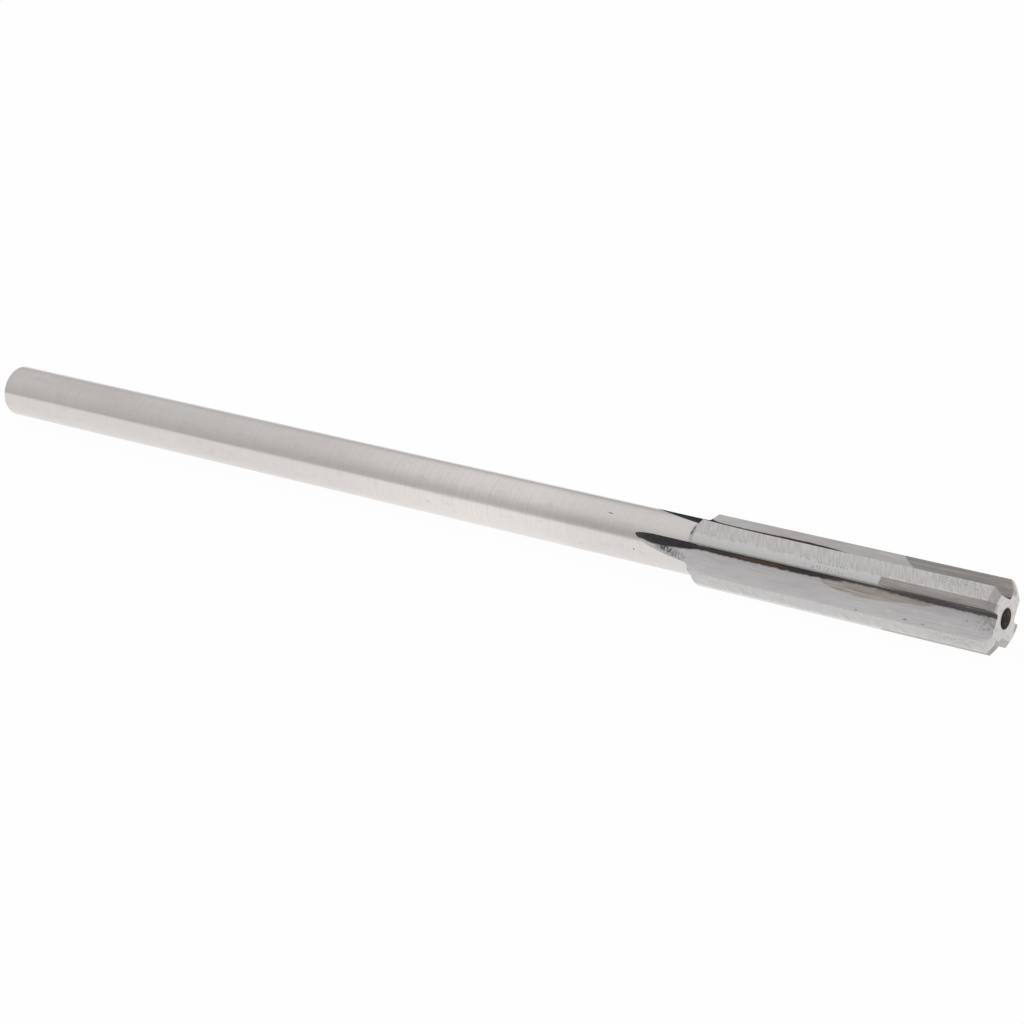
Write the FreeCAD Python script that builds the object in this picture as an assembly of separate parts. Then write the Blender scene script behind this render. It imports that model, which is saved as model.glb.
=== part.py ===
import FreeCAD, Part
import math
import os

# Machine reamer: straight round shank, four straight flutes, four brazed hard-metal tips.
# Millimetres. +X runs along the axis towards the cutting end, +Z is up.
# The origin is on the axis at the rear face of the shank.

# overall sizes
overall_length = 177.8
shank_diameter = 7.887
cutting_diameter = 10.058
flute_length = 44.45        # cutting end to the rear corner of the teeth
tooth_count = 4

# ends of the blank
rear_edge_chamfer = 0.2
shoulder_slope_deg = 45.0   # bevel between shank and teeth, from the axis
shoulder_fillet = 0.8
front_chamfer_length = 0.75
front_chamfer_depth = 1.2
centre_hole_diameter = 2.8
centre_hole_cone_deg = 60.0
pilot_diameter = 1.2
pilot_length = 1.6
pilot_tip_deg = 118.0

# flute section, measured from the radial face that carries the cutting edge
flute_opening_deg = 50.0    # angle from the cutting edge to the heel of the next tooth
flute_floor_height = 2.42   # from the axis to the flute floor
flute_floor_width = 3.05    # from the cutting face to the foot of the heel wall
root_fillet = 0.5
heel_fillet = 0.9
flute_wheel_radius = 127.0
flute_full_length = 34.6    # cutting end to where the flute starts to rise
first_tooth_deg = -23.5     # from straight up; the tool then lies steady on two teeth

# cutting tips, their pockets and the braze under them
tip_thickness = 1.05
tip_height = 1.85
tip_straight_length = 11.75
tip_end_radius = 5.5
braze_thickness = 0.1

cutting_radius = cutting_diameter / 2
shank_radius = shank_diameter / 2
outside = cutting_radius + 1.0


def vec(x, y, z):
    return FreeCAD.Vector(x, y, z)


def circle_mid(centre_x, centre_z, radius, angle_deg):
    a = math.radians(angle_deg)
    return vec(centre_x + radius * math.cos(a), 0, centre_z + radius * math.sin(a))


def turn_about_axis(shape, angle_deg):
    turned = shape.copy()
    turned.rotate(vec(0, 0, 0), vec(1, 0, 0), angle_deg)
    return turned


def spin_outline(points, shoulder=None):
    # closed outline in the X-Z plane, spun round the X axis
    edges = []
    for start, end in zip(points, points[1:] + points[:1]):
        if shoulder and start == shoulder[0]:
            edges.append(Part.Arc(*shoulder).toShape())
        else:
            edges.append(Part.makeLine(start, end))
    face = Part.Face(Part.Wire(edges))
    return face.revolve(vec(0, 0, 0), vec(1, 0, 0), 360)


def shoulder_points():
    # start, middle and end of the fillet, then the rear corner of the teeth
    slope = math.radians(shoulder_slope_deg)
    corner_x = overall_length - flute_length
    foot_x = corner_x - (cutting_radius - shank_radius) / math.tan(slope)
    reach = shoulder_fillet * math.tan(slope / 2)
    start = vec(foot_x - reach, 0, shank_radius)
    end = vec(foot_x + reach * math.cos(slope), 0, shank_radius + reach * math.sin(slope))
    middle = circle_mid(start.x, shank_radius + shoulder_fillet, shoulder_fillet, -90 + shoulder_slope_deg / 2)
    return start, middle, end, vec(corner_x, 0, cutting_radius)


def envelope():
    # turned outside shape of the whole tool, without holes
    start, middle, end, corner = shoulder_points()
    points = [
        vec(0, 0, 0),
        vec(0, 0, shank_radius - rear_edge_chamfer),
        vec(rear_edge_chamfer, 0, shank_radius),
        start,
        end,
        corner,
        vec(overall_length - front_chamfer_length, 0, cutting_radius),
        vec(overall_length, 0, cutting_radius - front_chamfer_depth),
        vec(overall_length, 0, 0),
    ]
    return spin_outline(points, (start, middle, end))


def centre_hole(face_x, inward):
    mouth = centre_hole_diameter / 2
    pilot = pilot_diameter / 2
    cone = (mouth - pilot) / math.tan(math.radians(centre_hole_cone_deg / 2))
    bottom = cone + pilot_length
    point = pilot / math.tan(math.radians(pilot_tip_deg / 2))
    points = [
        vec(face_x, 0, 0),
        vec(face_x, 0, mouth),
        vec(face_x + inward * cone, 0, pilot),
        vec(face_x + inward * bottom, 0, pilot),
        vec(face_x + inward * (bottom + point), 0, 0),
    ]
    return spin_outline(points)


def flute_section(x):
    # section of one flute at x; the cutting face lies on the X-Z plane and the flute opens to -Y
    heel = math.radians(flute_opening_deg)
    heel_y = -cutting_radius * math.sin(heel)
    heel_z = cutting_radius * math.cos(heel)
    wall = math.atan2(heel_z - flute_floor_height, -heel_y - flute_floor_width)
    out = (outside - flute_floor_height) / math.tan(wall)
    reach = heel_fillet * math.tan(wall / 2)
    top = vec(x, 0, outside)
    root_top = vec(x, 0, flute_floor_height + root_fillet)
    root_end = vec(x, -root_fillet, flute_floor_height)
    floor_end = vec(x, -flute_floor_width + reach, flute_floor_height)
    wall_start = vec(
        x,
        -flute_floor_width - reach * math.cos(wall),
        flute_floor_height + reach * math.sin(wall),
    )
    wall_end = vec(x, -flute_floor_width - out, outside)
    root_mid = vec(
        x,
        -root_fillet * (1 - math.sqrt(0.5)),
        flute_floor_height + root_fillet * (1 - math.sqrt(0.5)),
    )
    heel_mid = vec(
        x,
        floor_end.y - heel_fillet * math.sin(wall / 2),
        flute_floor_height + heel_fillet * (1 - math.cos(wall / 2)),
    )
    edges = [
        Part.makeLine(top, root_top),
        Part.Arc(root_top, root_mid, root_end).toShape(),
        Part.makeLine(root_end, floor_end),
        Part.Arc(floor_end, heel_mid, wall_start).toShape(),
        Part.makeLine(wall_start, wall_end),
        Part.makeLine(wall_end, top),
    ]
    return Part.Face(Part.Wire(edges))


def flute_cutter():
    # straight length from the front end, then the wheel's arc out through the shank
    wheel_x = overall_length - flute_full_length
    wheel_z = flute_floor_height + flute_wheel_radius
    section = flute_section(wheel_x)
    straight = section.extrude(vec(flute_full_length + 1, 0, 0))
    lift_deg = math.degrees(math.acos((wheel_z - cutting_radius) / flute_wheel_radius)) + 1
    run_out = section.revolve(vec(wheel_x, 0, wheel_z), vec(0, 1, 0), lift_deg)
    return straight, run_out


def tip_outline(offset):
    # outline of a tip on the cutting face; its rear end follows the pocket cutter's arc
    front = overall_length + 1
    bottom = cutting_radius - tip_height - offset
    centre_x = overall_length - tip_straight_length
    radius = tip_end_radius + offset
    centre_z = bottom + radius
    rise = outside - centre_z
    if rise < 0:
        rear = vec(centre_x - math.sqrt(radius ** 2 - rise ** 2), 0, outside)
        top = [Part.makeLine(rear, vec(front, 0, outside))]
    else:
        rear = vec(centre_x - radius, 0, centre_z)
        over = vec(centre_x - radius, 0, outside)
        top = [Part.makeLine(rear, over), Part.makeLine(over, vec(front, 0, outside))]
    start_deg = 270
    end_deg = math.degrees(math.atan2(rear.z - centre_z, rear.x - centre_x)) % 360
    middle = circle_mid(centre_x, centre_z, radius, (start_deg + end_deg) / 2)
    bottom_rear = vec(centre_x, 0, bottom)
    bottom_front = vec(front, 0, bottom)
    edges = [Part.makeLine(bottom_front, bottom_rear), Part.Arc(bottom_rear, middle, rear).toShape()]
    edges += top + [Part.makeLine(vec(front, 0, outside), bottom_front)]
    return Part.Face(Part.Wire(edges))


def tip_block(offset):
    return tip_outline(offset).extrude(vec(0, tip_thickness + offset, 0))


def tooth_angles():
    return [first_tooth_deg + 360.0 / tooth_count * n for n in range(tooth_count)]


def make_body():
    body = envelope()
    holes = [centre_hole(0, 1), centre_hole(overall_length, -1)]
    straight, run_out = flute_cutter()
    pocket = tip_block(braze_thickness)
    for angle in tooth_angles():
        for cutter in (straight, run_out, pocket):
            holes.append(turn_about_axis(cutter, angle))
    for hole in holes:
        body = body.cut(hole)
    return body.removeSplitter()


def make_tip_and_braze():
    outer = envelope()
    tip = tip_block(0).common(outer)
    braze = tip_block(braze_thickness).common(outer).cut(tip_block(0))
    return tip.removeSplitter(), braze.removeSplitter()


def single_solid(shape, name):
    solids = shape.Solids
    if len(solids) != 1 or not solids[0].isValid():
        raise RuntimeError(name + " is not one valid solid")
    return solids[0]


def main():
    os.makedirs("parts", exist_ok=True)
    pieces = {"body": make_body()}
    tip, braze = make_tip_and_braze()
    for number, angle in enumerate(tooth_angles(), start=1):
        pieces["carbide_tip_%d" % number] = turn_about_axis(tip, angle)
        pieces["braze_seam_%d" % number] = turn_about_axis(braze, angle)
    for name, shape in pieces.items():
        solid = single_solid(shape, name)
        solid.exportStep("parts/" + name + ".step")
        box = solid.BoundBox
        print(name, round(solid.Volume, 2), "mm3", "x", round(box.XMin, 3), round(box.XMax, 3),
              "y", round(box.YMin, 3), round(box.YMax, 3), "z", round(box.ZMin, 3), round(box.ZMax, 3))


main()
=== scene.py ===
import bmesh
import bpy
from math import acos, atan2, cos, degrees, hypot, pi, radians, sin, sqrt, tan
from mathutils import Matrix, Vector


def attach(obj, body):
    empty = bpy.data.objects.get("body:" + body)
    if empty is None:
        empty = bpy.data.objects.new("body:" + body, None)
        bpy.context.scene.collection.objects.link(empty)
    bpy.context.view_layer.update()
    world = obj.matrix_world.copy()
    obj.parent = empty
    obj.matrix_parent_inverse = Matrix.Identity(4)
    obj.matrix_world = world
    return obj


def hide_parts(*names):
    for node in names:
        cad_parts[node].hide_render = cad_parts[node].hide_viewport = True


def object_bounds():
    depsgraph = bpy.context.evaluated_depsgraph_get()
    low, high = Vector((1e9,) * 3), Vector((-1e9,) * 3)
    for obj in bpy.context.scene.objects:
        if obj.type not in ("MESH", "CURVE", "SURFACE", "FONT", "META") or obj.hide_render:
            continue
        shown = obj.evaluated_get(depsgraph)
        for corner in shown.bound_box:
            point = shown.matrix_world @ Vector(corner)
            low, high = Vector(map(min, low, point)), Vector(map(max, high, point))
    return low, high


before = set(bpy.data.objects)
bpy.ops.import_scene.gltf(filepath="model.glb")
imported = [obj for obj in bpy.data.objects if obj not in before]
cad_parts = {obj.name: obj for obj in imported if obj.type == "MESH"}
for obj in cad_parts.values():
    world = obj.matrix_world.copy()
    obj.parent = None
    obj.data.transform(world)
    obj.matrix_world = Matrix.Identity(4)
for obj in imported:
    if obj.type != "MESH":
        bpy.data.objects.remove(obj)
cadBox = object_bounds()
mm = 0.001
toolX = Vector((1, 0, 0))


def linearColor(hexText):
    channels = [int(hexText[i:i + 2], 16) / 255 for i in (1, 3, 5)]
    return [c / 12.92 if c <= 0.04045 else ((c + 0.055) / 1.055) ** 2.4 for c in channels] + [1.0]


def addNode(tree, kind, inputs=None, **settings):
    # a node given as an input is linked from its first output in use
    node = tree.nodes.new("ShaderNode" + kind)
    for name, value in settings.items():
        setattr(node, name, value)
    for key, value in (inputs or {}).items():
        if isinstance(value, bpy.types.Node):
            value = next(o for o in value.outputs if o.enabled)
        if isinstance(value, bpy.types.NodeSocket):
            tree.links.new(value, node.inputs[key])
        else:
            node.inputs[key].default_value = value
    return node


# ---------------------------------------------------------------- sizes
blankSizes = {
    "length": 177.8 * mm,
    "shankRadius": 3.9435 * mm,
    "cuttingRadius": 5.029 * mm,
    "toothLength": 44.45 * mm,
    "rearChamfer": 0.2 * mm,
    "shoulderFillet": 0.8 * mm,
    "frontChamferLength": 0.75 * mm,
    "frontChamferDepth": 1.2 * mm,
    "steps": 256,
    "ringSpacing": 2 * mm,
}
holeSizes = {
    "mouthRadius": 1.4 * mm,
    "pilotRadius": 0.6 * mm,
    "coneDeg": 60,
    "pilotLength": 1.6 * mm,
    "pointDeg": 118,
    "steps": 64,
}
fluteSizes = {
    "openingDeg": 50,
    "floorHeight": 2.42 * mm,
    "floorWidth": 3.05 * mm,
    "rootFillet": 0.5 * mm,
    "heelFillet": 0.9 * mm,
    "wheelRadius": 127 * mm,
    "fullLength": 34.6 * mm,
    "runOutSteps": 40,
}
toothAngles = [radians(-23.5 + 90 * n) for n in range(4)]
tipSizes = {
    "thickness": 1.05 * mm,
    "height": 1.85 * mm,
    "straight": 11.75 * mm,
    "endRadius": 5.5 * mm,
    "braze": 0.1 * mm,
}
outside = blankSizes["cuttingRadius"] + 1 * mm


def keepObject(name, bm, materials=()):
    bmesh.ops.recalc_face_normals(bm, faces=bm.faces)
    mesh = bpy.data.meshes.new(name)
    bm.to_mesh(mesh)
    bm.free()
    for material in materials:
        mesh.materials.append(material)
    obj = bpy.data.objects.new(name, mesh)
    bpy.context.scene.collection.objects.link(obj)
    return obj


def outline(bm, points, closed=False):
    verts = [bm.verts.new(p) for p in points]
    pairs = list(zip(verts, verts[1:])) + ([(verts[-1], verts[0])] if closed else [])
    for a, b in pairs:
        bm.edges.new((a, b))
    return verts


def roundCorner(bm, vert, reach, segments):
    bmesh.ops.bevel(bm, geom=[vert], offset=reach, offset_type="OFFSET", segments=segments,
                    profile=0.5, affect="VERTICES", material=-1)


def spinRound(bm, steps):
    bmesh.ops.spin(bm, geom=bm.verts[:] + bm.edges[:], cent=(0, 0, 0), axis=(1, 0, 0),
                   angle=2 * pi, steps=steps, use_merge=True)
    bmesh.ops.remove_doubles(bm, verts=bm.verts, dist=1e-7)


def spunBlank(name, materials=()):
    b = blankSizes
    corner = b["length"] - b["toothLength"]
    foot = corner - (b["cuttingRadius"] - b["shankRadius"])
    bm = bmesh.new()
    points = [
        (0, 0, 0),
        (0, 0, b["shankRadius"] - b["rearChamfer"]),
        (b["rearChamfer"], 0, b["shankRadius"]),
        (foot, 0, b["shankRadius"]),
        (corner, 0, b["cuttingRadius"]),
        (b["length"] - b["frontChamferLength"], 0, b["cuttingRadius"]),
        (b["length"], 0, b["cuttingRadius"] - b["frontChamferDepth"]),
        (b["length"], 0, 0),
    ]
    verts = outline(bm, points)
    roundCorner(bm, verts[3], b["shoulderFillet"] * tan(radians(22.5)), 6)
    for edge in [e for e in bm.edges if e.calc_length() > 20 * mm]:
        bmesh.ops.subdivide_edges(bm, edges=[edge], cuts=round(edge.calc_length() / b["ringSpacing"]))
    spinRound(bm, b["steps"])
    for face in bm.faces:
        middle = face.calc_center_median()
        radius = hypot(middle.y, middle.z)
        if middle.x > b["length"] - b["frontChamferLength"]:
            face.material_index = 2
        elif middle.x > foot - 1 * mm and radius > b["shankRadius"] * 1.002:
            face.material_index = 1
    return keepObject(name, bm, materials)


def fluteCutters(name, materials=()):
    f = fluteSizes
    heel = radians(f["openingDeg"])
    heelY, heelZ = -blankSizes["cuttingRadius"] * sin(heel), blankSizes["cuttingRadius"] * cos(heel)
    wall = atan2(heelZ - f["floorHeight"], -heelY - f["floorWidth"])
    out = (outside - f["floorHeight"]) / tan(wall)
    wheelX = blankSizes["length"] - f["fullLength"]
    wheelZ = f["floorHeight"] + f["wheelRadius"]
    lift = acos((wheelZ - blankSizes["cuttingRadius"]) / f["wheelRadius"]) + radians(1)
    bm = bmesh.new()
    for angle in toothAngles:
        one = bmesh.new()
        front = blankSizes["length"] + 1 * mm
        verts = outline(one, [
            (front, 0, outside),
            (front, 0, f["floorHeight"]),
            (front, -f["floorWidth"], f["floorHeight"]),
            (front, -f["floorWidth"] - out, outside),
        ], closed=True)
        roundCorner(one, verts[1], f["rootFillet"], 8)
        roundCorner(one, [v for v in one.verts if (v.co - Vector((front, -f["floorWidth"], f["floorHeight"]))).length < 1e-7][0],
                    f["heelFillet"] * tan(wall / 2), 8)
        face = bmesh.ops.contextual_create(one, geom=one.edges[:])["faces"][0]
        grown = bmesh.ops.extrude_face_region(one, geom=[face])["geom"]
        end = [g for g in grown if isinstance(g, bmesh.types.BMVert)]
        bmesh.ops.translate(one, vec=(wheelX - front, 0, 0), verts=end)
        endFace = [g for g in grown if isinstance(g, bmesh.types.BMFace)]
        bmesh.ops.spin(one, geom=endFace, cent=(wheelX, 0, wheelZ), axis=(0, 1, 0),
                       angle=lift, steps=f["runOutSteps"], use_merge=False)
        bmesh.ops.delete(one, geom=[g for g in endFace if g.is_valid], context="FACES_ONLY")
        bmesh.ops.recalc_face_normals(one, faces=one.faces)
        bmesh.ops.rotate(one, cent=(0, 0, 0), matrix=Matrix.Rotation(angle, 3, "X"), verts=one.verts)
        part = bpy.data.meshes.new("part")
        one.to_mesh(part)
        one.free()
        bm.from_mesh(part)
        bpy.data.meshes.remove(part)
    return keepObject(name, bm, materials)


def tipBlocks(name, offset, angles, overlap=0.0, materials=()):
    t = tipSizes
    front = blankSizes["length"] + 1 * mm
    bottom = blankSizes["cuttingRadius"] - t["height"] - offset
    rear = blankSizes["length"] - t["straight"] - t["endRadius"] - offset
    bm = bmesh.new()
    for angle in angles:
        one = bmesh.new()
        verts = outline(one, [
            (front, -overlap, bottom),
            (rear, -overlap, bottom),
            (rear, -overlap, bottom + 2 * t["endRadius"]),
            (front, -overlap, bottom + 2 * t["endRadius"]),
        ], closed=True)
        roundCorner(one, verts[1], t["endRadius"] + offset, 24)
        face = bmesh.ops.contextual_create(one, geom=one.edges[:])["faces"][0]
        grown = bmesh.ops.extrude_face_region(one, geom=[face])["geom"]
        bmesh.ops.translate(one, vec=(0, t["thickness"] + offset + overlap, 0),
                            verts=[g for g in grown if isinstance(g, bmesh.types.BMVert)])
        bmesh.ops.recalc_face_normals(one, faces=one.faces)
        bmesh.ops.rotate(one, cent=(0, 0, 0), matrix=Matrix.Rotation(angle, 3, "X"), verts=one.verts)
        part = bpy.data.meshes.new("part")
        one.to_mesh(part)
        one.free()
        bm.from_mesh(part)
        bpy.data.meshes.remove(part)
    return keepObject(name, bm, materials)


def centreHoles(name, materials=()):
    h = holeSizes
    cone = (h["mouthRadius"] - h["pilotRadius"]) / tan(radians(h["coneDeg"] / 2))
    point = h["pilotRadius"] / tan(radians(h["pointDeg"] / 2))
    bm = bmesh.new()
    for face, inward in ((0.0, 1), (blankSizes["length"], -1)):
        one = bmesh.new()
        slope = (h["mouthRadius"] - h["pilotRadius"]) / cone
        over = 0.3 * mm
        outline(one, [
            (face - inward * over, 0, 0),
            (face - inward * over, 0, h["mouthRadius"] + slope * over),
            (face + inward * cone, 0, h["pilotRadius"]),
            (face + inward * (cone + h["pilotLength"]), 0, h["pilotRadius"]),
            (face + inward * (cone + h["pilotLength"] + point), 0, 0),
        ])
        spinRound(one, h["steps"])
        bmesh.ops.recalc_face_normals(one, faces=one.faces)
        part = bpy.data.meshes.new("part")
        one.to_mesh(part)
        one.free()
        bm.from_mesh(part)
        bpy.data.meshes.remove(part)
    return keepObject(name, bm, materials)


def cut(obj, tool, operation="DIFFERENCE"):
    # the tool's own material stays on the faces that it leaves
    step = obj.modifiers.new("cut", "BOOLEAN")
    step.object = tool
    step.operation = operation
    step.solver = "EXACT"
    step.material_mode = "TRANSFER"
    bpy.context.view_layer.update()
    done = bpy.data.meshes.new_from_object(obj.evaluated_get(bpy.context.evaluated_depsgraph_get()))
    obj.modifiers.clear()
    obj.data = done


def finishMesh(obj, sharpDeg=25):
    # smooth faces, sharp where two finishes meet or the surface turns a corner
    bm = bmesh.new()
    bm.from_mesh(obj.data)
    bmesh.ops.dissolve_degenerate(bm, edges=bm.edges, dist=1e-7)
    for face in bm.faces:
        face.smooth = True
    for edge in bm.edges:
        finishes = {face.material_index for face in edge.link_faces}
        edge.smooth = len(finishes) == 1 and edge.calc_face_angle(pi) < radians(sharpDeg)
    bm.to_mesh(obj.data)
    bm.free()


# ---------------------------------------------------------------- materials
def feed(tree, source, shader, name):
    tree.links.new(next(o for o in source.outputs if o.enabled), shader.inputs[name])


def toolCoordinates(tree):
    # millimetres along the axis, radius, turn from straight up, and the place in its own flute:
    # across is the distance from the cutting face, up is the height along that face
    coords = addNode(tree, "TexCoord").outputs["Object"]
    inMm = addNode(tree, "Mapping", {"Vector": coords, "Scale": (1000, 1000, 1000)})
    x, y, z = addNode(tree, "SeparateXYZ", {0: inMm}).outputs
    minusY = addNode(tree, "Math", {0: y, 1: -1.0}, operation="MULTIPLY")
    turn = addNode(tree, "Math", {0: minusY, 1: z}, operation="ARCTAN2")
    # counted from a hair before each cutting face, so that the whole face falls on one side
    turned = addNode(tree, "Math", {0: turn, 1: 0.02 - toothAngles[0]}, operation="ADD")
    past = addNode(tree, "Math", {0: turned, 1: pi / 2}, operation="FLOORED_MODULO")
    local = addNode(tree, "Math", {0: past, 1: 0.02}, operation="SUBTRACT")
    number = addNode(tree, "Math", {0: addNode(tree, "Math", {0: turned, 1: pi / 2}, operation="DIVIDE")},
                     operation="FLOOR")
    flat = addNode(tree, "CombineXYZ", {1: y, 2: z})
    radius = addNode(tree, "VectorMath", {0: flat}, operation="LENGTH")
    across = addNode(tree, "Math", {0: radius, 1: addNode(tree, "Math", {0: local}, operation="SINE")},
                     operation="MULTIPLY")
    up = addNode(tree, "Math", {0: radius, 1: addNode(tree, "Math", {0: local}, operation="COSINE")},
                 operation="MULTIPLY")
    arc = addNode(tree, "Math", {0: turn, 1: radius}, operation="MULTIPLY")
    wrapped = addNode(tree, "CombineXYZ", {0: x, 1: arc, 2: radius})
    return {"point": inMm, "x": x, "number": number, "radius": radius, "across": across, "up": up,
            "arc": arc, "wrapped": wrapped,
            "turnDeg": addNode(tree, "Math", {0: turn}, operation="DEGREES"),
            "localDeg": addNode(tree, "Math", {0: local}, operation="DEGREES")}


def window(tree, value, low, high, soft):
    # 1 between low and high, fading over soft on each side
    rise = addNode(tree, "MapRange", {0: value, 1: low - soft, 2: low + soft})
    fall = addNode(tree, "MapRange", {0: value, 1: high - soft, 2: high + soft, 3: 1.0, 4: 0.0})
    return addNode(tree, "Math", {0: rise, 1: fall}, operation="MULTIPLY")


def patch(tree, at, x, xSize, side, sideSize, key="across", soft=0.5):
    # soft round patch with its middle at x and side
    dx = addNode(tree, "MapRange", {0: at["x"], 1: x - xSize, 2: x + xSize, 3: -1.0, 4: 1.0}, clamp=False)
    dy = addNode(tree, "MapRange", {0: at[key], 1: side - sideSize, 2: side + sideSize, 3: -1.0, 4: 1.0},
                 clamp=False)
    away = addNode(tree, "VectorMath", {0: addNode(tree, "CombineXYZ", {0: dx, 1: dy})}, operation="LENGTH")
    return addNode(tree, "MapRange", {0: away, 1: 1.0, 2: 1.0 - soft, 3: 0.0, 4: 1.0})


def alongTool(tree, x, points, top):
    # a size in mm that changes along the tool, from 120 mm to the front
    curve = addNode(tree, "FloatCurve", {"Value": addNode(tree, "MapRange", {0: x, 1: 120.0, 2: 180.0})})
    line = curve.mapping.curves[0]
    line.points[0].location = (0.0, points[0][1] / top)
    line.points[1].location = (1.0, points[-1][1] / top)
    for where, size in points:
        line.points.new((where - 120) / 60, size / top)
    curve.mapping.update()
    return addNode(tree, "Math", {0: curve, 1: top}, operation="MULTIPLY")


def grain(tree, vector, sizes, detail=3.0, seed=0.0):
    # noise whose blotches have about these sizes in mm
    spread = addNode(tree, "Mapping", {"Vector": vector, "Location": (seed, seed * 0.7, seed * 1.3),
                                       "Scale": [1 / size for size in sizes]})
    return addNode(tree, "TexNoise", {"Vector": spread, "Scale": 1.0, "Detail": detail})


def blend(tree, share, first, second):
    inputs = {0: share, 6: first, 7: second}
    for key in (6, 7):
        if isinstance(inputs[key], str):
            inputs[key] = linearColor(inputs[key])
    return addNode(tree, "Mix", inputs, data_type="RGBA")


def both(tree, first, second, operation="MULTIPLY"):
    return addNode(tree, "Math", {0: first, 1: second}, operation=operation)


def newMetal(name, color, roughness, anisotropy=0.0, turned=0.0):
    material = bpy.data.materials.new(name)
    material.use_nodes = True
    tree = material.node_tree
    tree.nodes.clear()
    shader = addNode(tree, "BsdfPrincipled", {
        "Base Color": linearColor(color), "Metallic": 1.0, "Roughness": roughness,
        "Anisotropic": anisotropy, "Anisotropic Rotation": turned})
    if anisotropy:
        feed(tree, addNode(tree, "Tangent", direction_type="RADIAL", axis="X"), shader, "Tangent")
    addNode(tree, "OutputMaterial", {"Surface": shader})
    return material, tree, shader


def groundShankSteel():
    # centreless-ground high-speed steel: bright, with fine marks round the shank that smear
    # reflections along it; the marks are 0.02 mm apart and drawn as 0.25 mm to show
    material, tree, shader = newMetal("ground_shank_steel", "#D2D0CE", 0.2)
    at = toolCoordinates(tree)
    lines = grain(tree, at["wrapped"], (0.25, 9.0, 5.0), 4.0)
    cloud = grain(tree, at["wrapped"], (16.0, 3.0, 5.0), 3.0)
    handled = grain(tree, at["wrapped"], (2.2, 0.9, 5.0), 5.0, 3.0)
    # painted light: the shank's colour brightens between 60 and 95 mm and dims again between 106 and 116 mm, standing
    # in for how the studio's reflections change along it
    front = addNode(tree, "MapRange", {0: at["x"], 1: 60.0, 2: 95.0})
    back = addNode(tree, "MapRange", {0: at["x"], 1: 106.0, 2: 116.0})
    paintedLightAlongShank = blend(tree, back, blend(tree, front, "#D9D3D0", "#EAE4E0"), "#DDD8D5")
    tone = blend(tree, addNode(tree, "MapRange", {0: cloud, 1: 0.35, 2: 0.65, 3: 0.0, 4: 0.35}), paintedLightAlongShank, "#E2E1E2")
    fine = blend(tree, addNode(tree, "MapRange", {0: lines, 1: 0.4, 2: 0.75, 3: 0.0, 4: 0.30}), tone, "#CBC7C4")
    smear = addNode(tree, "MapRange", {0: handled, 1: 0.58, 2: 0.74, 3: 0.0, 4: 0.16})
    smeared = blend(tree, smear, fine, "#A8A4A2")
    specks = addNode(tree, "TexVoronoi", {"Vector": at["wrapped"], "Scale": 0.32})
    speck = addNode(tree, "MapRange", {0: specks, 1: 0.02, 2: 0.035, 3: 0.55, 4: 0.0})
    speckled = blend(tree, speck, smeared, "#6B6560")
    nick = patch(tree, at, 123.7, 0.16, 106.4, 2.2, "turnDeg")
    scratch = patch(tree, at, 118.9, 0.5, 44.3, 1.6, "turnDeg")
    dent = both(tree, nick, scratch, "MAXIMUM")
    feed(tree, blend(tree, dent, speckled, "#77706B"), shader, "Base Color")
    rough = addNode(tree, "MapRange", {0: cloud, 1: 0.3, 2: 0.7, 3: 0.16, 4: 0.24})
    feed(tree, rough, shader, "Roughness")
    feed(tree, addNode(tree, "Bump", {"Strength": 0.10, "Distance": 0.02 * mm, "Height": lines}), shader, "Normal")
    return material


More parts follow.
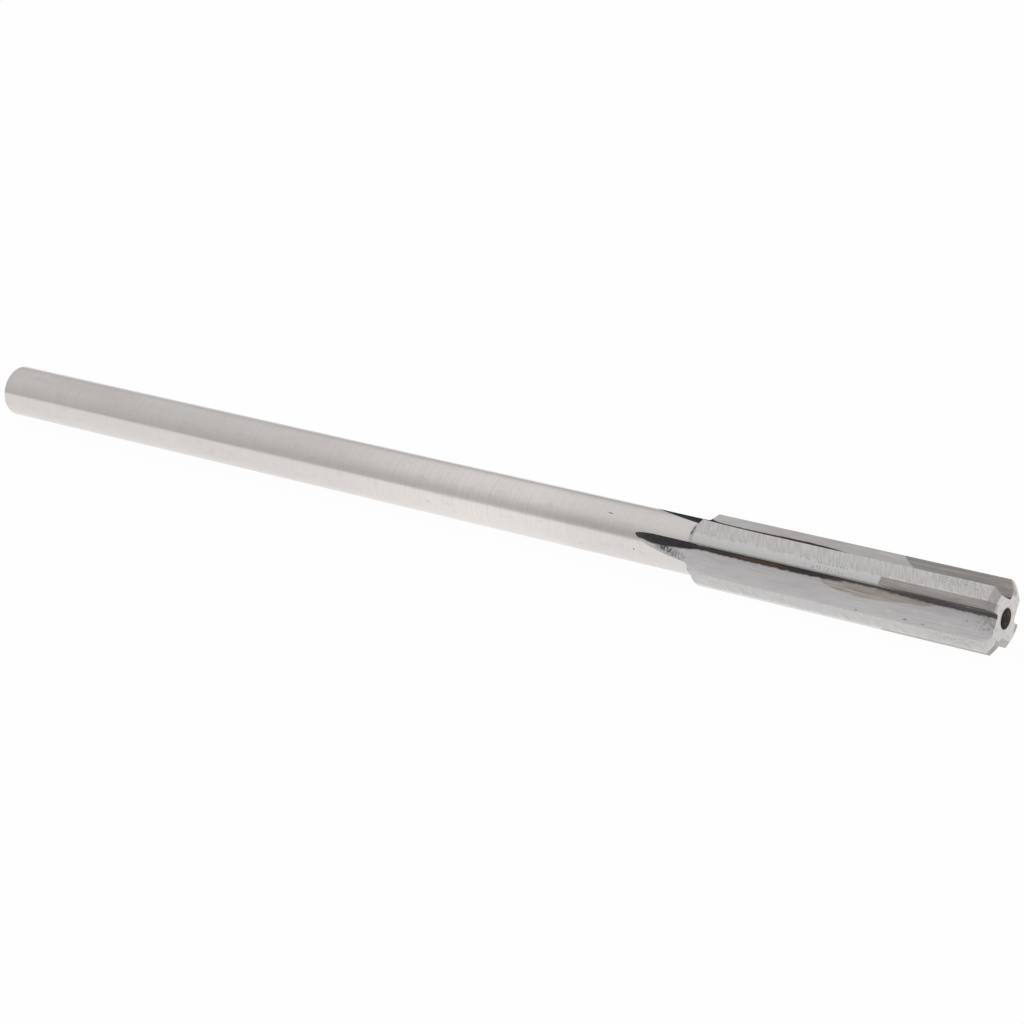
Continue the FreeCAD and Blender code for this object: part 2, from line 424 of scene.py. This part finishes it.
def groundLandSteel():
    # cylindrically ground margin with a coarser relief-ground heel behind it, marks 0.3 mm apart
    material, tree, shader = newMetal("ground_land_steel", "#CFCDCC", 0.3)
    at = toolCoordinates(tree)
    slant = both(tree, at["x"], both(tree, at["arc"], -0.5), "ADD")
    slanted = addNode(tree, "CombineXYZ", {0: slant, 1: at["arc"], 2: at["radius"]})
    marks = grain(tree, slanted, (0.22, 1.8, 5.0), 2.0)
    fine = grain(tree, at["wrapped"], (0.2, 4.0, 5.0), 3.0, 5.0)
    jag = grain(tree, slanted, (0.7, 6.0, 5.0), 3.0, 2.0)
    edge = addNode(tree, "MapRange", {0: jag, 1: 0.3, 2: 0.7, 3: 72.0, 4: 79.0})
    heel = addNode(tree, "MapRange", {0: both(tree, edge, at["localDeg"], "SUBTRACT"), 1: -0.8, 2: 0.8})
    margin = blend(tree, fine, "#D0CFCF", "#DAD9D9")
    relief = blend(tree, addNode(tree, "MapRange", {0: marks, 1: 0.38, 2: 0.62}), "#C3C1C0", "#D4D2D0")
    tone = blend(tree, heel, margin, relief)
    # black grinding dirt in the corner at the foot of the shoulder
    foot = both(tree, window(tree, at["x"], 132.22, 132.62, 0.05), window(tree, at["localDeg"], 55.0, 75.0, 0.8))
    patchy = addNode(tree, "MapRange", {0: grain(tree, at["wrapped"], (0.3, 0.5, 5.0)), 1: 0.36, 2: 0.46})
    dirty = blend(tree, both(tree, foot, patchy), tone, "#2A2826")
    # rows of small pits on one margin
    rows = both(tree, window(tree, at["turnDeg"], 53.2, 54.6, 0.3), window(tree, at["x"], 152.2, 157.0, 0.1))
    low = both(tree, both(tree, window(tree, at["turnDeg"], 59.2, 60.4, 0.3), window(tree, at["turnDeg"], 62.4, 63.6, 0.3),
                          "MAXIMUM"), window(tree, at["x"], 150.5, 156.8, 0.1))
    dots = addNode(tree, "TexVoronoi", {"W": at["x"], "Scale": 2.0}, voronoi_dimensions="1D")
    pit = addNode(tree, "MapRange", {0: dots, 1: 0.14, 2: 0.22, 3: 1.0, 4: 0.0})
    broken = addNode(tree, "MapRange", {0: grain(tree, at["wrapped"], (0.5, 0.25, 5.0), 1.0, 8.0), 1: 0.46, 2: 0.5})
    pits = both(tree, pit, both(tree, rows, both(tree, low, broken), "MAXIMUM"))
    pitted = blend(tree, both(tree, pits, 0.8), dirty, "#4C4643")
    # dark handling marks close to the front
    stain = grain(tree, at["wrapped"], (0.22, 0.3, 5.0), 4.0, 7.0)
    near = both(tree, window(tree, at["x"], 169.5, 177.0, 1.5), window(tree, at["localDeg"], 52.0, 66.0, 3.0))
    blot = both(tree, addNode(tree, "MapRange", {0: stain, 1: 0.5, 2: 0.62}), near)
    feed(tree, blend(tree, both(tree, blot, 0.45), pitted, "#7A7674"), shader, "Base Color")
    feed(tree, addNode(tree, "MapRange", {0: heel, 3: 0.26, 4: 0.36}), shader, "Roughness")
    height = addNode(tree, "Mix", {0: heel, 2: fine, 3: marks}, data_type="FLOAT")
    sunk = both(tree, height, both(tree, pits, 2.0), "SUBTRACT")
    feed(tree, addNode(tree, "Bump", {"Strength": 0.12, "Distance": 0.02 * mm, "Height": sunk}), shader, "Normal")
    return material


def groundFluteSteel():
    # flute ground lengthwise, satin across the marks; the root still carries heat-treatment scale, and from about 156
    # mm to the front its dark strip is painted shade
    material, tree, shader = newMetal("ground_flute_steel", "#C8C6C4", 0.42, 0.5)
    at = toolCoordinates(tree)
    lines = grain(tree, at["point"], (9.0, 0.16, 0.16), 3.0)
    ragged = grain(tree, at["point"], (0.9, 0.5, 0.5), 5.0)
    cloud = grain(tree, at["point"], (3.0, 0.9, 0.9), 3.0, 4.0)
    jitter = addNode(tree, "MapRange", {0: ragged, 1: 0.25, 2: 0.75, 3: -0.10, 4: 0.10})
    # width of the dark strip on the floor beside the root: scale back to about 156 mm, painted shade from there to the
    # front
    scaleAndShadeWidth = alongTool(tree, at["x"], [
        (120, 0.02), (122.2, 0.02), (123.5, 0.70), (125.3, 0.95), (127.1, 1.18), (129.1, 1.09), (131.8, 0.83),
        (134.3, 0.55), (140, 0.58), (150, 0.56), (154, 0.42), (158, 0.24), (163, 0.34), (168, 0.46),
        (180, 0.5)], 2.0)
    overFloor = both(tree, both(tree, scaleAndShadeWidth, jitter, "ADD"), at["across"], "SUBTRACT")
    onFloor = addNode(tree, "MapRange", {0: overFloor, 1: -0.16, 2: 0.06})
    # how far the scale, and from about 156 mm the painted root shade, reaches up the cutting face; one face has more
    # scale left than the others
    first = addNode(tree, "Math", {0: at["number"], 1: 0.0, 2: 0.4}, operation="COMPARE")
    ledge = alongTool(tree, at["x"], [
        (120, 4.5), (131.5, 4.5), (133.5, 4.0), (150, 3.94), (155.5, 3.55), (160, 3.12), (180, 3.12)], 5.0)
    lower = addNode(tree, "MapRange", {0: at["x"], 1: 131.5, 2: 133.5, 3: 4.5, 4: 3.05})
    faceEdge = addNode(tree, "Mix", {0: first, 2: lower, 3: ledge}, data_type="FLOAT")
    overFace = both(tree, both(tree, faceEdge, both(tree, jitter, 0.4), "ADD"), at["up"], "SUBTRACT")
    onFace = addNode(tree, "MapRange", {0: overFace, 1: -0.03, 2: 0.05})
    scaleAndRootShade = both(tree, onFloor, onFace)
    # painted shade where the wheel runs out, a dark band streaked along the cut
    runMiddle = addNode(tree, "MapRange", {0: at["x"], 1: 126.0, 2: 131.5, 3: 0.9, 4: 2.2}, clamp=False)
    aside = both(tree, both(tree, at["across"], runMiddle, "SUBTRACT"), 1.0, "MULTIPLY")
    band = window(tree, aside, -0.55, 0.42, 0.25)
    shadeStreaks = grain(tree, at["point"], (0.22, 0.5, 0.5), 3.0, 1.0)
    runOutShade = both(tree, both(tree, band, window(tree, at["x"], 127.2, 131.2, 0.8)),
                addNode(tree, "MapRange", {0: shadeStreaks, 1: 0.38, 2: 0.62}))
    # finish-ground lens that the last wheel left beside the root, tanned by its heat
    lensWidth = alongTool(tree, at["x"], [
        (120, 0.0), (151.2, 0.0), (152.4, 0.92), (154.3, 1.47), (156.3, 1.73), (158.7, 1.82), (160.8, 1.70),
        (162.8, 1.53), (165.2, 1.22), (167.3, 1.10), (171, 0.5), (180, 0.3)], 2.0)
    lensEdge = addNode(tree, "MapRange", {0: both(tree, lensWidth, at["across"], "SUBTRACT"), 1: -0.04, 2: 0.06})
    lens = both(tree, lensEdge, addNode(tree, "MapRange", {0: at["across"], 1: 0.05, 2: 0.15}))
    streak = grain(tree, at["point"], (5.0, 0.22, 0.22), 2.0, 6.0)
    faceTan = both(tree, addNode(tree, "MapRange", {0: at["across"], 1: 0.02, 2: 0.06, 3: 1.0, 4: 0.0}),
                   both(tree, window(tree, at["x"], 138.0, 164.0, 6.0), 0.35))
    tanned = both(tree, both(tree, lens, faceTan, "MAXIMUM"),
                  addNode(tree, "MapRange", {0: streak, 1: 0.3, 2: 0.7, 3: 0.15, 4: 0.95}))
    ground = blend(tree, addNode(tree, "MapRange", {0: lines, 1: 0.3, 2: 0.7}), "#D3D1D1", "#E2E0E0")
    clouded = blend(tree, addNode(tree, "MapRange", {0: cloud, 1: 0.5, 2: 0.75, 3: 0.0, 4: 0.35}), ground, "#BFBCBC")
    warm = blend(tree, tanned, clouded, "#AFA296")
    # yellow coolant spots and small pits near the heel
    spotA = patch(tree, at, 162.9, 0.8, 2.72, 0.40, soft=0.8)
    spotB = patch(tree, at, 171.1, 0.9, 2.53, 0.50, soft=0.8)
    spotC = patch(tree, at, 166.6, 0.6, 1.9, 0.3, soft=0.8)
    spots = both(tree, both(tree, spotA, spotB, "MAXIMUM"), spotC, "MAXIMUM")
    spotted = blend(tree, both(tree, spots, 0.6), warm, "#EDE7D6")
    chip = patch(tree, at, 158.7, 0.2, 3.60, 0.14)
    for where, side, reach in ((165.7, 3.31, 0.45), (168.3, 3.40, 0.25), (173.9, 1.65, 0.13)):
        chip = both(tree, chip, patch(tree, at, where, reach, side, 0.14), "MAXIMUM")
    crumbly = addNode(tree, "MapRange", {0: grain(tree, at["point"], (0.16, 0.16, 0.16), 2.0, 3.0), 1: 0.42, 2: 0.5})
    chipped = blend(tree, both(tree, both(tree, chip, crumbly), 0.85), spotted, "#4A4642")
    # greasy smudges at the very front
    greasy = grain(tree, at["point"], (0.35, 0.35, 0.35), 4.0, 9.0)
    frontPart = both(tree, window(tree, at["x"], 175.6, 178.5, 0.9), window(tree, at["across"], 0.3, 2.6, 0.5))
    smudge = both(tree, addNode(tree, "MapRange", {0: greasy, 1: 0.42, 2: 0.62}), frontPart)
    smudged = blend(tree, both(tree, smudge, 0.5), chipped, "#7F7B7B")
    runOutShaded = blend(tree, both(tree, runOutShade, 0.85), smudged, "#4A4646")
    # scale: brown at the start of the run-out, then charcoal, brown-black along the root; from about 156 mm to the
    # front this dark root strip is painted shade, not scale
    brown = both(tree, both(tree, window(tree, at["x"], 121.0, 124.6, 0.6), window(tree, at["x"], 135.0, 148.0, 3.0), "MAXIMUM"),
                 addNode(tree, "MapRange", {0: streak, 1: 0.35, 2: 0.6}))
    scaleAndShadeTone = blend(tree, brown, blend(tree, ragged, "#37363A", "#5E5B5C"), "#6A584C")
    fading = addNode(tree, "MapRange", {0: at["x"], 1: 152.0, 2: 160.0, 3: 1.0, 4: 0.86})
    onRake = addNode(tree, "MapRange", {0: at["across"], 1: 0.02, 2: 0.05, 3: 1.0, 4: 0.0})
    rubbed = both(tree, onRake, addNode(tree, "MapRange", {0: at["x"], 1: 170.0, 2: 174.0, 4: 0.55}))
    share = both(tree, scaleAndRootShade, both(tree, fading, both(tree, 1.0, rubbed, "SUBTRACT")))
    feed(tree, blend(tree, share, runOutShaded, scaleAndShadeTone), shader, "Base Color")
    feed(tree, addNode(tree, "MapRange", {0: scaleAndRootShade, 3: 0.42, 4: 0.6}), shader, "Roughness")
    # the heel wall shades almost as the floor does: its normal is eased towards the floor's
    turn = both(tree, both(tree, at["number"], pi / 2), toothAngles[0], "ADD")
    level = addNode(tree, "CombineXYZ", {
        1: both(tree, addNode(tree, "Math", {0: turn}, operation="SINE"), -1.0),
        2: addNode(tree, "Math", {0: turn}, operation="COSINE")})
    natural = addNode(tree, "NewGeometry").outputs["Normal"]
    onWall = addNode(tree, "MapRange", {0: at["across"], 1: 2.2, 2: 2.6, 3: 0.0, 4: 0.85})
    eased = addNode(tree, "Mix", {0: onWall, 4: natural, 5: level}, data_type="VECTOR")
    smooth = addNode(tree, "VectorMath", {0: eased}, operation="NORMALIZE")
    feed(tree, addNode(tree, "Bump", {"Strength": 0.25, "Distance": 0.02 * mm, "Height": lines, "Normal": smooth}),
         shader, "Normal")
    return material


def groundFrontSteel():
    # end face and chamfer, ground flat with straight fine marks
    material, tree, shader = newMetal("ground_front_steel", "#D0CECD", 0.3)
    at = toolCoordinates(tree)
    lines = grain(tree, at["point"], (1.0, 0.18, 1.8), 3.0)
    smear = grain(tree, at["point"], (0.8, 0.7, 0.5), 4.0, 3.0)
    tone = blend(tree, addNode(tree, "MapRange", {0: lines, 1: 0.3, 2: 0.7}), "#C6C3C2", "#D6D4D4")
    dull = blend(tree, addNode(tree, "MapRange", {0: smear, 1: 0.5, 2: 0.72, 3: 0.0, 4: 0.5}), tone, "#A5A09E")
    rim = window(tree, at["radius"], 1.35, 1.55, 0.08)
    feed(tree, blend(tree, both(tree, rim, 0.45), dull, "#8C7E70"), shader, "Base Color")
    feed(tree, addNode(tree, "Bump", {"Strength": 0.2, "Distance": 0.02 * mm, "Height": lines}), shader, "Normal")
    return material


def drilledSteel():
    # centre drilled before hardening, so the hole is still dark with scale
    material, tree, shader = newMetal("scaled_centre_hole", "#4A4542", 0.55)
    at = toolCoordinates(tree)
    rings = grain(tree, at["point"], (0.12, 1.2, 1.2), 3.0)
    crust = grain(tree, at["point"], (0.35, 0.35, 0.35), 5.0, 2.0)
    tone = blend(tree, crust, "#2B2725", "#6A6461")
    feed(tree, blend(tree, addNode(tree, "MapRange", {0: rings, 1: 0.5, 2: 0.8, 3: 0.0, 4: 0.4}), tone, "#7D7877"),
         shader, "Base Color")
    feed(tree, addNode(tree, "Bump", {"Strength": 0.4, "Distance": 0.05 * mm, "Height": crust}), shader, "Normal")
    return material


def groundCarbide():
    # tungsten carbide, diamond ground: darker and a little warmer than the steel
    material, tree, shader = newMetal("diamond_ground_carbide", "#9C9894", 0.3)
    at = toolCoordinates(tree)
    lines = grain(tree, at["point"], (7.0, 0.14, 0.14), 3.0)
    cloud = grain(tree, at["point"], (2.2, 0.7, 0.7), 3.0, 5.0)
    tone = blend(tree, addNode(tree, "MapRange", {0: lines, 1: 0.3, 2: 0.7}), "#9D9996", "#B7B3B0")
    feed(tree, blend(tree, addNode(tree, "MapRange", {0: cloud, 1: 0.45, 2: 0.7, 3: 0.0, 4: 0.4}), tone, "#928E8B"),
         shader, "Base Color")
    feed(tree, addNode(tree, "Bump", {"Strength": 0.2, "Distance": 0.015 * mm, "Height": lines}), shader, "Normal")
    return material


def silverBraze():
    # silver solder with copper in it: a thin soft line, pinker than the steel
    material, tree, shader = newMetal("silver_braze", "#B9B5AD", 0.35)
    at = toolCoordinates(tree)
    lumps = grain(tree, at["point"], (0.5, 0.2, 0.2), 3.0)
    feed(tree, blend(tree, lumps, "#AC9890", "#CDBDB6"), shader, "Base Color")
    feed(tree, addNode(tree, "Bump", {"Strength": 0.3, "Distance": 0.02 * mm, "Height": lumps}), shader, "Normal")
    return material


shankSteel = groundShankSteel()
landSteel = groundLandSteel()
frontSteel = groundFrontSteel()
fluteSteel = groundFluteSteel()
holeSteel = drilledSteel()
carbide = groundCarbide()
braze = silverBraze()

# ---------------------------------------------------------------- pieces
body = spunBlank("reamer_body", [shankSteel, landSteel, frontSteel])
helpers = [
    fluteCutters("flute_wheels", [fluteSteel]),
    tipBlocks("tip_pockets", tipSizes["braze"], toothAngles, 0.3 * mm, [fluteSteel]),
    centreHoles("centre_drill", [holeSteel]),
]
for tool in helpers:
    cut(body, tool)
    bpy.data.objects.remove(tool)
finishMesh(body)
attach(body, "root")
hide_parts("body")
print("body", len(body.data.polygons), "faces", [m.name for m in body.data.materials])

for number, angle in enumerate(toothAngles, start=1):
    blank = spunBlank("blank")
    tip = tipBlocks("hard_metal_tip_%d" % number, 0.0, [angle], 0.0, [carbide])
    cut(tip, blank, "INTERSECT")
    seam = tipBlocks("braze_line_%d" % number, tipSizes["braze"], [angle], 0.0, [braze])
    cut(seam, blank, "INTERSECT")
    inner = tipBlocks("inner", 0.0, [angle], 0.1 * mm)
    cut(seam, inner)
    for spare in (blank, inner):
        bpy.data.objects.remove(spare)
    for piece, node, slotName, material in (
            (tip, "carbide_tip_%d" % number, "carbide", carbide),
            (seam, "braze_seam_%d" % number, "braze", braze)):
        piece.data.materials.clear()
        piece.data.materials.append(material)
        for face in piece.data.polygons:
            face.material_index = 0
        finishMesh(piece)
        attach(piece, "root")
        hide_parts(node)
print("tips and seams done")

# ---------------------------------------------------------------- floor, light and camera
floorZ = cadBox[0][2]
bpy.ops.mesh.primitive_plane_add(size=2.4, location=(0.09, 0.3, floorZ))
floor = bpy.context.object
floor.name = "floor"
floorMaterial = bpy.data.materials.new("pale_floor")
floorMaterial.use_nodes = True
tree = floorMaterial.node_tree
tree.nodes.clear()
place = addNode(tree, "TexCoord").outputs["Object"]
placeY = addNode(tree, "SeparateXYZ", {0: place}).outputs[1]
sheet = addNode(tree, "MapRange", {0: placeY, 1: -0.338, 2: -0.326, 3: 0.58, 4: 1.0})
path = addNode(tree, "LightPath")
seen = addNode(tree, "Math", {0: path.outputs["Is Camera Ray"], 1: sheet}, operation="MAXIMUM")
glow = addNode(tree, "Emission", {"Color": (1, 1, 1, 1), "Strength": seen})
matte = addNode(tree, "BsdfDiffuse", {"Color": linearColor("#F2F2F2")})
share = addNode(tree, "Math", {0: path.outputs["Is Camera Ray"], 1: path.outputs["Is Glossy Ray"]},
                operation="MAXIMUM")
shareOf = addNode(tree, "Math", {0: share, 1: 0.97}, operation="MULTIPLY")
mixed = addNode(tree, "MixShader", {0: shareOf, 1: matte, 2: glow})
addNode(tree, "OutputMaterial", {"Surface": mixed})
floor.data.materials.append(floorMaterial)

world = bpy.data.worlds.new("studio")
bpy.context.scene.world = world
world.use_nodes = True
tree = world.node_tree
tree.nodes.clear()


def skyCurve(tree, height, points):
    curve = addNode(tree, "FloatCurve", {"Value": height})
    line = curve.mapping.curves[0]
    line.points[0].location = points[0]
    line.points[1].location = points[-1]
    for point in points[1:-1]:
        line.points.new(*point)
    curve.mapping.update()
    return curve


# the studio as the metal sees it: pale room low in front, softbox light overhead, white backdrop behind
direction = addNode(tree, "TexCoord").outputs["Generated"]
split = addNode(tree, "SeparateXYZ", {0: direction})
rear = skyCurve(tree, split.outputs[2], ((0, 0.64), (0.2, 0.665), (0.4, 0.69), (0.6, 0.70), (1, 0.70)))
front = skyCurve(tree, split.outputs[2], ((0, 0.50), (0.25, 0.54), (0.43, 0.63), (0.58, 0.72), (0.72, 0.80), (1, 0.82)))
along = addNode(tree, "MapRange", {0: split.outputs[0], 1: -0.67, 2: -0.58}, interpolation_type="SMOOTHSTEP")
lit = addNode(tree, "Mix", {0: along, 2: rear, 3: front}, data_type="FLOAT")
farSide = addNode(tree, "MapRange", {0: split.outputs[1], 1: 0.0, 2: 0.2})
low = addNode(tree, "MapRange", {0: split.outputs[2], 1: 0.08, 2: 0.3, 3: 1.0, 4: 0.0})
backdrop = addNode(tree, "Math", {0: farSide, 1: low}, operation="MULTIPLY")
dip = addNode(tree, "Math", {0: farSide, 1: window(tree, split.outputs[2], 0.26, 0.5, 0.08)}, operation="MULTIPLY")
dimmed = addNode(tree, "Math", {0: lit, 1: addNode(tree, "Math", {0: dip, 1: -0.10}, operation="MULTIPLY")},
                 operation="ADD")
room = addNode(tree, "Mix", {0: backdrop, 2: dimmed, 3: 1.0}, data_type="FLOAT")
path = addNode(tree, "LightPath")
strength = addNode(tree, "Math", {0: room, 1: path.outputs["Is Camera Ray"]}, operation="MAXIMUM")
sky = addNode(tree, "Background", {"Color": (1, 1, 1, 1), "Strength": strength})
addNode(tree, "OutputWorld", {"Surface": sky})

scene = bpy.context.scene
scene.view_settings.view_transform = "Standard"
cameraData = bpy.data.cameras.new("camera")
cameraData.lens = 96.95
cameraData.sensor_width = 36
cameraData.clip_start = 0.01
camera = bpy.data.objects.new("camera", cameraData)
camera.location = (0.32491, -0.30497, 0.09502)
camera.rotation_euler = (radians(75.742), radians(-2.810), radians(37.111))
scene.collection.objects.link(camera)
scene.camera = camera
